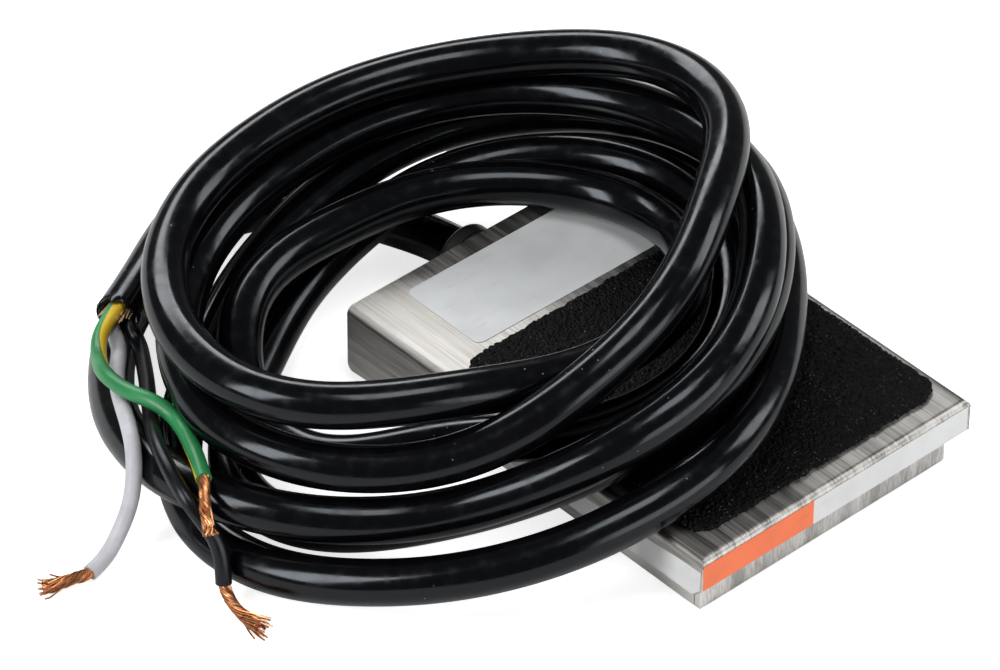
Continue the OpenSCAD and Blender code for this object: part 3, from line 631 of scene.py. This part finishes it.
def tuft():
    """Paper filler that shows beside the cores at the jacket's rim."""
    threads, rows, sides = 44, 4, 4
    spin = random.Random(9)
    points, faces = [], []
    for k in range(threads):
        a = math.radians(spin.uniform(30, 200))
        r = spin.uniform(0.4, 2.5)
        base = cord_end + MM * (-1.6 * ahead + r * (math.cos(a) * across + math.sin(a) * over))
        reach = spin.uniform(2.2, 4.3)
        lean = MM * spin.uniform(-0.4, 0.4) * across
        width = MM * spin.uniform(0.18, 0.34)
        for row in range(rows):
            f = row / (rows - 1)
            spot = base + MM * reach * f * ahead + lean * f * f
            for s in range(sides):
                b = math.pi / 2 * s
                w = width * (1 - 0.5 * f)
                points.append(spot + w * (math.cos(b) * across + math.sin(b) * over))
        first = k * rows * sides
        for row in range(rows - 1):
            for s in range(sides):
                i, j = first + row * sides + s, first + row * sides + (s + 1) % sides
                faces.append((i, j, j + sides, i + sides))
        faces.append(tuple(first + (rows - 1) * sides + s for s in range(sides)))
    return piece("filler", points, faces, FILLER, "base")


filler = tuft()


# ---------------------------------------------------------------- pieces made from the CAD's solids
# The treadle's outer faces, and its front flange's lower edge
FRONT_Y, LEFT_X, TOP_Z = -42.85, -30.15, 15.0
FRONT_LOW = 8.9


def clip_front_corners(shell):
    """Cuts the side flanges back at the front, from the front flange's lower edge down at 45 degrees."""
    whole = shell.verts[:] + shell.edges[:] + shell.faces[:]
    cut = bmesh.ops.bisect_plane(shell, geom=whole, plane_co=(0, FRONT_Y * MM, FRONT_LOW * MM),
                                 plane_no=(0, -1, -1), clear_outer=True)
    edges = [g for g in cut["geom_cut"] if isinstance(g, bmesh.types.BMEdge)]
    bmesh.ops.edgeloop_fill(shell, edges=[e for e in edges if e.is_boundary])


def dressed(node, material, body, edge):
    """The CAD solid with its edges broken and its flat faces shaded flat, as a piece of its own."""
    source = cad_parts[node]
    shell = bmesh.new()
    shell.from_mesh(source.data)
    bmesh.ops.remove_doubles(shell, verts=shell.verts, dist=0.002 * MM)
    bmesh.ops.dissolve_limit(shell, angle_limit=math.radians(1.2), verts=shell.verts, edges=shell.edges)
    if node == "treadle_cover":
        clip_front_corners(shell)
    mesh = baked(node, shell, material)
    mesh.polygons.foreach_set("use_smooth", [True] * len(mesh.polygons))
    rough = bpy.data.objects.new("rough", mesh)
    scene.collection.objects.link(rough)
    bevel = rough.modifiers.new("edges", "BEVEL")
    bevel.width = edge * MM
    bevel.segments = 2
    bevel.limit_method = "ANGLE"
    bevel.angle_limit = math.radians(35)
    bevel.use_clamp_overlap = True
    even = rough.modifiers.new("normals", "WEIGHTED_NORMAL")
    even.weight = 100
    bpy.context.view_layer.update()
    mesh = bpy.data.meshes.new_from_object(rough.evaluated_get(bpy.context.evaluated_depsgraph_get()))
    bpy.data.objects.remove(rough)
    mesh.name = node + "_shell"
    return settle(node + "_shell", mesh, body, (node,), 0)


for node, material, body, slot, edge in (
    ("treadle_cover", STEEL, "treadle", "steel", 0.1),
    ("base_tray", TRAY, "base", "steel", 0.08),
    ("foot_pad", RUBBER, "base", "foot_rubber", 0.12),
    ("pivot_rivet_left", ZINC, "base", "hardware", 0.06),
    ("pivot_rivet_right", ZINC, "base", "hardware", 0.06),
    ("spacer_washers", NYLON, "base", "nylon", 0.05),
    ("spring_seat", ZINC, "base", "hardware", 0.05),
    ("insulator_sheet", FIBRE, "base", "fibre", 0.03),
    ("switch_bracket", ZINC, "base", "hardware", 0.06),
    ("bracket_rivets", ZINC, "base", "hardware", 0.05),
    ("switch_case", PHENOLIC, "base", "phenolic", 0.08),
    ("switch_cover", COVER, "base", "cover_red", 0.08),
    ("switch_plunger", NYLON, "plunger", "nylon", 0.05),
    ("switch_screws", ZINC, "base", "hardware", 0.05),
    ("terminal_common", BRASS, "base", "terminal_brass", 0.03),
    ("terminal_open", BRASS, "base", "terminal_brass", 0.03),
    ("terminal_closed", BRASS, "base", "terminal_brass", 0.03),
    ("ground_screw", GREEN_DIP, "base", "green_screw", 0.05),
    ("ground_ring", ZINC, "base", "hardware", 0.05),
    ("actuator_stud", ZINC, "treadle", "hardware", 0.05),
    ("spring_stud", ZINC, "treadle", "hardware", 0.05),
    ("strain_relief", BUSHING, "base", "black_vinyl", 0.12),
):
    dressed(node, material, body, edge)


# ---------------------------------------------------------------- spring and inner wiring
SPRING_LOW, SPRING_HIGH = 3.0, 13.25
SPRING_Y, SPRING_R, SPRING_WIRE_R = -26.85, 3.2, 0.35


def spring_line():
    """The wire's axis; its first and last turns are almost flat."""
    turns, steps = 6, 240
    end, end_rise = 1 / turns, 0.06
    out = []
    for k in range(steps + 1):
        u = k / steps
        if u < end:
            rise = end_rise * u / end
        elif u > 1 - end:
            rise = 1 - end_rise * (1 - u) / end
        else:
            rise = end_rise + (1 - 2 * end_rise) * (u - end) / (1 - 2 * end)
        a = 2 * math.pi * turns * u
        out.append((SPRING_R * math.cos(a), SPRING_Y + SPRING_R * math.sin(a),
                    SPRING_LOW + (SPRING_HIGH - SPRING_LOW) * rise))
    return np.array(out) * MM


spring = tube("coil_spring", spring_line(), SPRING_WIRE_R * MM, 10, ZINC, "base",
              ("return_spring",))
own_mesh(spring)

LEAD_R, JACKET_END, JACKET_START = 1.33, 32.35, 48.3
inner_line = np.array([(0, JACKET_END, CORD_Z), (0, 40, CORD_Z), (0, JACKET_START, CORD_Z)]) * MM
tube("inside_jacket", through(inner_line, 1 * MM), CORD_R, 30, JACKET, "base", ("inner_jacket",))
for name, points, material, slot in (
    ("lead_black", [(-1.7, 32.3, 6.5), (-3.5, 27, 5.8), (-9, 19, 4.4), (-13.5, 10, 3.65), (-14.5, 0, 3.65),
                    (-14, -8, 3.65), (-11.5, -13, 3.65), (-7.13, -14.6, 3.75), (-5.78, -14.6, 3.75)],
     CORE_BLACK, "black_vinyl"),
    ("lead_white", [(1.7, 32.3, 6.5), (3.4, 27, 5.4), (7.5, 18, 4.4), (12.5, 10, 3.65), (14.5, 0, 3.65),
                    (14, -8, 3.65), (11.5, -13, 3.65), (7.13, -14.6, 3.75), (5.78, -14.6, 3.75)],
     CORE_WHITE, "white_vinyl"),
    ("lead_earth", [(0, 32.3, 9.2), (1.6, 30.4, 9.3), (5.5, 28.6, 8.4), (8.5, 28.6, 6), (10.95, 29, 4.15)],
     CORE_EARTH, "earth_vinyl"),
):
    tube("inside_" + name, through(np.array(points) * MM, 0.8 * MM), LEAD_R * MM, 20, material, "base",
         (name,))


# ---------------------------------------------------------------- the gritty pad
def rounded_gap(x, y, x0, x1, y0, y1, r):
    """Signed distance to a rectangle with round corners: below 0 inside."""
    mx, my = (x0 + x1) / 2, (y0 + y1) / 2
    dx, dy = abs(x - mx) - (x1 - x0) / 2 + r, abs(y - my) - (y1 - y0) / 2 + r
    return math.hypot(max(dx, 0), max(dy, 0)) + min(max(dx, dy), 0) - r


def gritty_pad():
    """A sheet of loose grains with a ragged rim that goes down to the treadle's top."""
    x0, x1, y0, y1, r = -26.9, 28.3, -38.4, 19.1, 4.5
    foot_z, bed_z, rim_z = 15.01, 15.5, 15.62
    pitch = 0.42
    jitter = pitch * 0.32
    spin = random.Random(21)

    def gap_at(x, y):
        return rounded_gap(x, y, x0, x1, y0, y1, r)

    nx, ny = int((x1 - x0) / pitch) + 2, int((y1 - y0) / pitch) + 2
    shell = bmesh.new()
    grid = {}
    for i in range(nx):
        for j in range(ny):
            x, y = x0 + i * pitch - pitch / 2, y0 + j * pitch - pitch / 2
            if gap_at(x, y) < 0:
                grid[i, j] = shell.verts.new((x, y, 0))
    for i, j in grid:
        four = [grid.get((i, j)), grid.get((i + 1, j)), grid.get((i + 1, j + 1)), grid.get((i, j + 1))]
        if all(four):
            shell.faces.new(four)
    for vert in [v for v in shell.verts if not v.link_faces]:
        shell.verts.remove(vert)
    rim_edges = [e for e in shell.edges if e.is_boundary]
    rim_verts = {v for e in rim_edges for v in e.verts}
    for vert in shell.verts:
        x, y = vert.co.x, vert.co.y
        if vert in rim_verts:
            # The slope of the gap points out of the pad; the rim is pushed along it
            e = 0.05
            gx, gy = gap_at(x + e, y) - gap_at(x - e, y), gap_at(x, y + e) - gap_at(x, y - e)
            size = math.hypot(gx, gy) or 1
            wave = 0.28 * noise.noise(Vector((x * 0.45, y * 0.45, 3)))
            push = -gap_at(x, y) - 0.22 + spin.uniform(-0.2, 0.2) + wave
            vert.co = Vector((x + gx / size * push, y + gy / size * push, rim_z + spin.uniform(-0.14, 0.12)))
        else:
            height = bed_z + 0.48 * spin.random() ** 1.4 + 0.06 * noise.noise(Vector((x * 0.2, y * 0.2, 0)))
            vert.co = Vector((x + spin.uniform(-jitter, jitter), y + spin.uniform(-jitter, jitter), height))
    made = bmesh.ops.extrude_edge_only(shell, edges=rim_edges)
    for vert in [g for g in made["geom"] if isinstance(g, bmesh.types.BMVert)]:
        vert.co.z = foot_z
    bmesh.ops.recalc_face_normals(shell, faces=shell.faces)
    bmesh.ops.scale(shell, vec=(MM, MM, MM), verts=shell.verts)
    return settle("gritty_pad", baked("gritty_pad", shell, GRIT), "treadle", ("tread_pad",), 75)


gritty_pad()


# ---------------------------------------------------------------- bare labels
def label(name, corners, thick, normal, material, radius):
    """A thin sheet with rounded corners, stuck on a flat face; the corners go round once."""
    corners = [Vector(c) * MM for c in corners]
    outline = []
    count, steps = len(corners), 6
    for k, corner in enumerate(corners):
        before, after = corners[k - 1] - corner, corners[(k + 1) % count] - corner
        r = min(radius * MM, before.length / 2, after.length / 2)
        p, q = corner + before.normalized() * r, corner + after.normalized() * r
        for step in range(steps + 1):
            f = step / steps
            outline.append(p * (1 - f) ** 2 + corner * 2 * f * (1 - f) + q * f * f)
    shell = bmesh.new()
    verts = [shell.verts.new(p) for p in outline]
    face = shell.faces.new(verts)
    grown = bmesh.ops.extrude_face_region(shell, geom=[face])
    lifted = [g for g in grown["geom"] if isinstance(g, bmesh.types.BMVert)]
    bmesh.ops.translate(shell, vec=Vector(normal) * thick * MM, verts=lifted)
    bmesh.ops.recalc_face_normals(shell, faces=shell.faces)
    return settle(name, baked(name, shell, material), "treadle", (), 30)


STRIP_LOW, STRIP_HIGH = 8.95, 13.95
label("rating_label", [(-20.5, 21.1, TOP_Z), (20.6, 20.8, TOP_Z), (20.8, 39.1, TOP_Z), (-20.3, 39.4, TOP_Z)],
      0.07, (0, 0, 1), LABEL, 1.8)
for name, x0, x1, material in (
    ("front_strip_orange", -30.0, -5.6, ORANGE),
    ("front_strip_white", -5.6, 29.4, STRIP),
):
    label(name, [(x0, FRONT_Y, STRIP_LOW), (x1, FRONT_Y, STRIP_LOW), (x1, FRONT_Y, STRIP_HIGH),
                 (x0, FRONT_Y, STRIP_HIGH)], 0.06, (0, -1, 0), material, 0.15)
side_corners = [(-40.6, 7.05), (-42.4, 8.85), (-42.5, 12.7), (-5, 10.6), (-5, 7.05)]
label("side_strip", [(LEFT_X, y, z) for y, z in side_corners], 0.06, (-1, 0, 0), STRIP, 0.3)


# ---------------------------------------------------------------- floor and light
def put_floor():
    """White paper that glows where the camera sees it, so that it shows almost evenly white."""
    reach = 6
    mesh = bpy.data.meshes.new("floor")
    mesh.from_pydata([(-reach, -reach, 0), (reach, -reach, 0), (reach, reach, 0), (-reach, reach, 0)], [],
                     [(0, 1, 2, 3)])
    floor = bpy.data.objects.new("floor", mesh)
    scene.collection.objects.link(floor)
    paper = Finish("floor", Base_Color=(0.86, 0.86, 0.86), Roughness=0.9)
    paper.set("Specular IOR Level", 0.1)
    rays = paper.tree.nodes.new("ShaderNodeLightPath")
    seen = Value(paper.tree, rays.outputs["Is Camera Ray"])
    clear = Value(paper.tree, rays.outputs["Is Transmission Ray"])
    shown = seen.math("MAXIMUM", seen, clear)
    glow = paper.node("Emission", {"Color": (1, 1, 1), "Strength": 0.75})
    mixed = paper.tree.nodes.new("ShaderNodeMixShader")
    both = paper.tree.nodes.new("ShaderNodeAddShader")
    paper.tree.links.new(paper.shader.outputs[0], both.inputs[0])
    paper.tree.links.new(glow.socket, both.inputs[1])
    paper.tree.links.new(shown.socket, mixed.inputs[0])
    paper.tree.links.new(paper.shader.outputs[0], mixed.inputs[1])
    paper.tree.links.new(both.outputs[0], mixed.inputs[2])
    paper.tree.links.new(mixed.outputs[0], paper.output.inputs["Surface"])
    mesh.materials.append(paper.material)


def put_lamp(name, place, aim, wide, tall, power):
    """A soft box at a place, turned to what it aims at."""
    data = bpy.data.lights.new(name, "AREA")
    data.shape = "RECTANGLE"
    data.size, data.size_y = wide, tall
    data.energy = power
    lamp = bpy.data.objects.new(name, data)
    lamp.location = place
    lamp.rotation_euler = (Vector(aim) - Vector(place)).to_track_quat("-Z", "Y").to_euler()
    scene.collection.objects.link(lamp)


def put_sky():
    """White surroundings: dim for what they light and mirror, plain white behind the scene."""
    world = bpy.data.worlds.new("studio")
    world.use_nodes = True
    scene.world = world
    tree = world.node_tree
    tree.nodes.clear()
    rays = tree.nodes.new("ShaderNodeLightPath")
    dim, plain = tree.nodes.new("ShaderNodeBackground"), tree.nodes.new("ShaderNodeBackground")
    for shade, strength in ((dim, 0.1), (plain, 1.0)):
        shade.inputs["Color"].default_value = (1, 1, 1, 1)
        shade.inputs["Strength"].default_value = strength
    mixed, out = tree.nodes.new("ShaderNodeMixShader"), tree.nodes.new("ShaderNodeOutputWorld")
    tree.links.new(rays.outputs["Is Camera Ray"], mixed.inputs[0])
    tree.links.new(dim.outputs[0], mixed.inputs[1])
    tree.links.new(plain.outputs[0], mixed.inputs[2])
    tree.links.new(mixed.outputs[0], out.inputs[0])


put_floor()
put_sky()
put_lamp("left_box", (-0.75, 0.15, 0.5), (-0.02, 0.02, 0.01), wide=0.3, tall=0.6, power=5.0)
put_lamp("back_box", (0.25, 0.8, 0.6), (-0.02, 0.03, 0.01), wide=0.8, tall=0.25, power=4.4)
put_lamp("right_box", (0.7, -0.35, 0.5), (0.0, 0.0, 0.01), wide=0.35, tall=0.5, power=2.7)
put_lamp("top_box", (-0.1, -0.15, 1.0), (0, 0, 0), wide=0.4, tall=0.4, power=3.0)
put_lamp("front_box", (0.1, -1.0, 0.22), (0, 0, 0.01), wide=1.0, tall=0.4, power=4.2)
